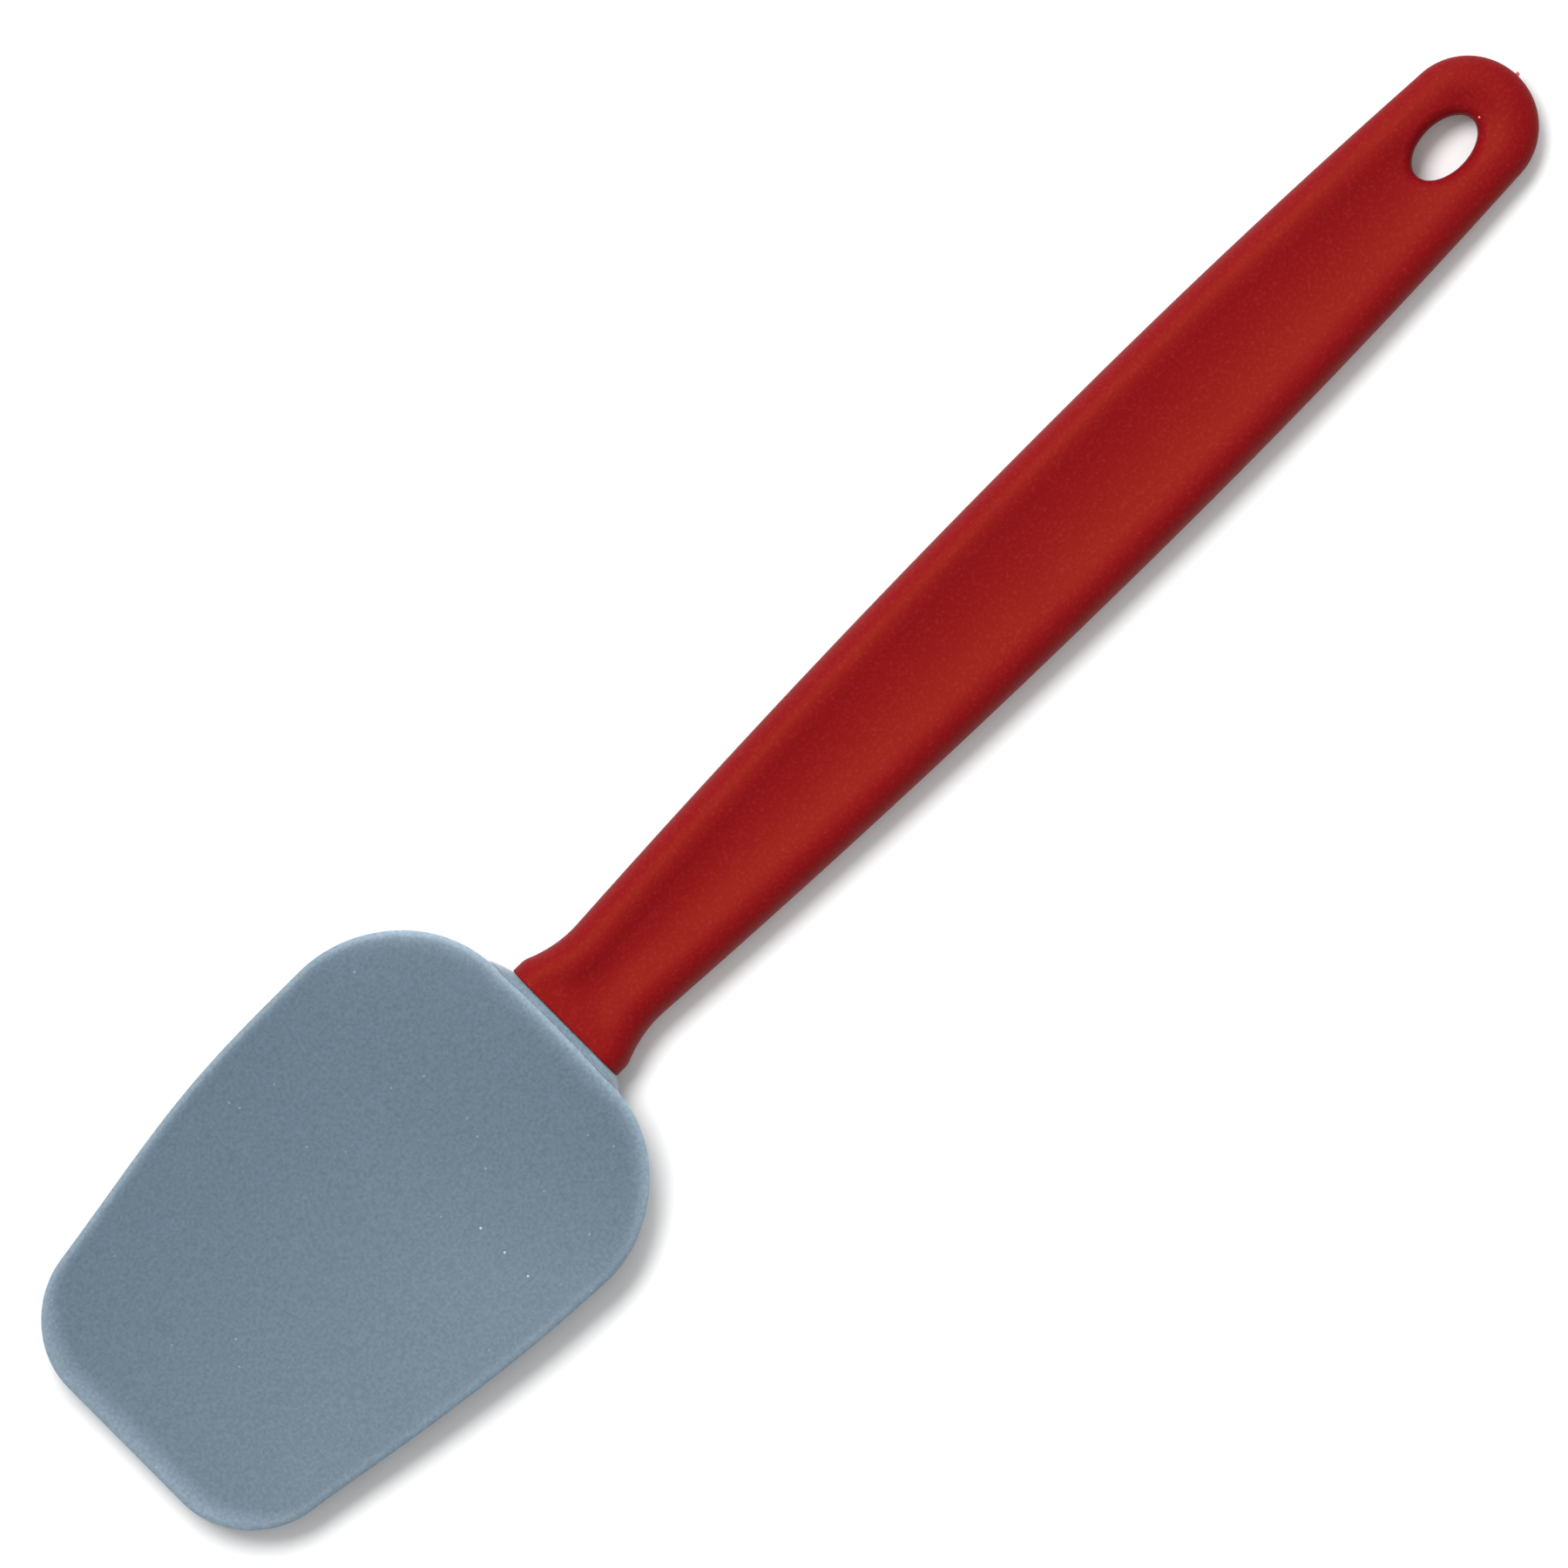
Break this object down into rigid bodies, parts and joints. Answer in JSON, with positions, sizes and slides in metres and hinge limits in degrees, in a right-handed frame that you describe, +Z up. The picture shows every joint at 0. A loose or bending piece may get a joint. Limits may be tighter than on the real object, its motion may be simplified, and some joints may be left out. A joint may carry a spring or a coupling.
{
  "type": "silicone spoon",
  "caption": "Kitchen spoon with a wide, shallow silicone head that pulls off a stiff ribbed core, and a moulded handle with a long trough and a hanging hole.",
  "frame": {"origin": "on the table, under the middle of the bounding box, with the spoon lying on its back", "axes": "+X from the head's tip to the handle's end, +Y across the spoon, +Z up out of the dish"},
  "size_m": [0.27, 0.06, 0.0087],
  "materials": {
    "silicone": "matt moulded silicone, blue-grey",
    "handle_plastic": "satin moulded plastic, deep red",
    "core_plastic": "moulded glass-filled nylon, near black"
  },
  "bodies": {
    "handle": {"handle_grip": "handle_plastic", "core_blade": "core_plastic"},
    "head": {"silicone_head": "silicone"}
  },
  "joints": [
    {"name": "head_slide", "type": "slide", "parent": "handle", "child": "head", "axis": [-1, 0, 0], "range_m": [0, 0.06]}
  ]
}
